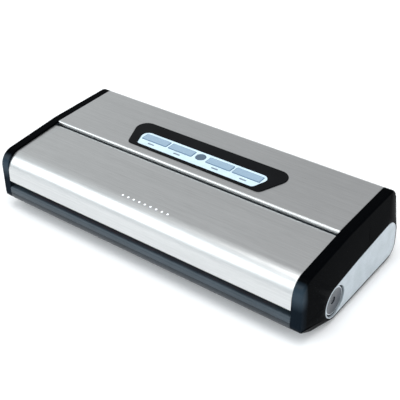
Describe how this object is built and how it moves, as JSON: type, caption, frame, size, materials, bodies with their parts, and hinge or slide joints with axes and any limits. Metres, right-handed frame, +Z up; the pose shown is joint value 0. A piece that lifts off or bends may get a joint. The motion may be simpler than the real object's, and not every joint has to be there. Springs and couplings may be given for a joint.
{
  "type": "vacuum sealer",
  "caption": "Countertop bar vacuum sealer: hinged steel-skinned lid over a sealing bar and chamber, rear control panel, end caps with side release buttons.",
  "frame": {"origin": "middle of the body's footprint, on the surface that the rubber feet stand on", "axes": "+X along the machine from left to right, -Y towards the user, +Z up"},
  "size_m": [0.3726, 0.166, 0.0743],
  "materials": {
    "stainless": "brushed",
    "cap_black": "gloss",
    "casing_black": "satin",
    "panel_silver": "satin",
    "button_metal": "spun",
    "keypad_blue": "satin",
    "key_blue": "satin",
    "stop_slate": "satin",
    "lamp_white": "gloss",
    "lamp_grey": "gloss",
    "latch_plastic": "moulded",
    "foam_grey": "closed cell foam",
    "silicone": "matt",
    "tape_tan": "coated glass cloth",
    "bar_alloy": "extruded",
    "tray_smoke": "satin",
    "screw_steel": "zinc plated",
    "spring_steel": "drawn wire",
    "turned_steel": "ground",
    "motor_can": "plated",
    "pump_grey": "moulded",
    "foot_rubber": "matt",
    "hose_clear": "silicone",
    "core_iron": "laminated",
    "coil_tape": "wrapped",
    "board_green": "solder mask",
    "component_black": "moulded",
    "contact_brass": "plated"
  },
  "bodies": {
    "base": {"lower_shell": "casing_black", "base_deck": "casing_black", "lower_gasket": "foam_grey", "heating_bar": "bar_alloy", "heating_wire": "turned_steel", "sealing_tape": "tape_tan", "drip_tray": "tray_smoke", "rear_cover": "casing_black", "rear_plate": "stainless", "control_bezel": "cap_black", "keypad_plate": "keypad_blue", "key_lamps": "lamp_grey", "key_switches": "component_black", "control_board": "board_green", "end_cap_left": "cap_black", "end_cap_right": "cap_black", "cheek_plate_left": "casing_black", "cheek_plate_right": "casing_black", "side_panel_left": "panel_silver", "side_panel_right": "panel_silver", "button_spring_left": "spring_steel", "button_spring_right": "spring_steel", "rubber_feet": "foot_rubber", "base_screws": "screw_steel", "cap_screws": "screw_steel", "transformer_core": "core_iron", "transformer_coil": "coil_tape", "pump_motor": "motor_can", "pump_head": "pump_grey", "pump_mounts": "foot_rubber", "vacuum_hose": "hose_clear", "air_valve": "pump_grey", "main_board": "board_green", "board_parts": "component_black", "lid_switch": "component_black", "mains_inlet": "component_black", "inlet_contacts": "contact_brass"},
    "lid": {"lid_skin": "stainless", "lid_shell": "casing_black", "lid_liner": "casing_black", "upper_gasket": "foam_grey", "pressure_bar": "silicone", "lid_screws": "screw_steel", "progress_lamps": "lamp_white", "lamp_board": "board_green", "lid_catch_left": "latch_plastic", "lid_catch_right": "latch_plastic", "hinge_pin_left": "turned_steel", "hinge_pin_right": "turned_steel"},
    "release_left": {"release_button_left": "button_metal", "latch_slide_left": "latch_plastic"},
    "release_right": {"release_button_right": "button_metal", "latch_slide_right": "latch_plastic"},
    "pump_rotor": {"pump_shaft": "turned_steel", "pump_crank": "turned_steel"},
    "key_1": {"mode_key_1": "key_blue"},
    "key_2": {"mode_key_2": "key_blue"},
    "key_3": {"mode_key_3": "key_blue"},
    "key_4": {"mode_key_4": "key_blue"},
    "stop_key": {"stop_button": "stop_slate"}
  },
  "joints": [
    {"name": "lid_hinge", "type": "hinge", "parent": "base", "child": "lid", "pos_m": [0, -0.0127, 0.0649], "axis": [-1, 0, 0], "range_deg": [0, 70]},
    {"name": "release_right_push", "type": "slide", "parent": "base", "child": "release_right", "axis": [-1, 0, 0], "range_m": [0, 0.003], "stiffness_N_per_m": 500, "springref_m": -0.002, "deforming": ["button_spring_right"]},
    {"name": "release_left_push", "type": "slide", "parent": "base", "child": "release_left", "axis": [1, 0, 0], "range_m": [0, 0.003], "stiffness_N_per_m": 500, "springref_m": -0.002, "deforming": ["button_spring_left"]},
    {"name": "pump_spin", "type": "hinge", "parent": "base", "child": "pump_rotor", "pos_m": [0.07, 0.034, 0.027], "axis": [1, 0, 0], "continuous": true},
    {"name": "key_1_press", "type": "slide", "parent": "base", "child": "key_1", "axis": [0, 0.026, -0.9997], "range_m": [0, 0.0006], "stiffness_N_per_m": 400, "springref_m": -0.0005},
    {"name": "key_2_press", "type": "slide", "parent": "base", "child": "key_2", "axis": [0, 0.026, -0.9997], "range_m": [0, 0.0006], "stiffness_N_per_m": 400, "springref_m": -0.0005},
    {"name": "key_3_press", "type": "slide", "parent": "base", "child": "key_3", "axis": [0, 0.026, -0.9997], "range_m": [0, 0.0006], "stiffness_N_per_m": 400, "springref_m": -0.0005},
    {"name": "key_4_press", "type": "slide", "parent": "base", "child": "key_4", "axis": [0, 0.026, -0.9997], "range_m": [0, 0.0006], "stiffness_N_per_m": 400, "springref_m": -0.0005},
    {"name": "stop_press", "type": "slide", "parent": "base", "child": "stop_key", "axis": [0, 0.026, -0.9997], "range_m": [0, 0.0006], "stiffness_N_per_m": 400, "springref_m": -0.0005}
  ]
}
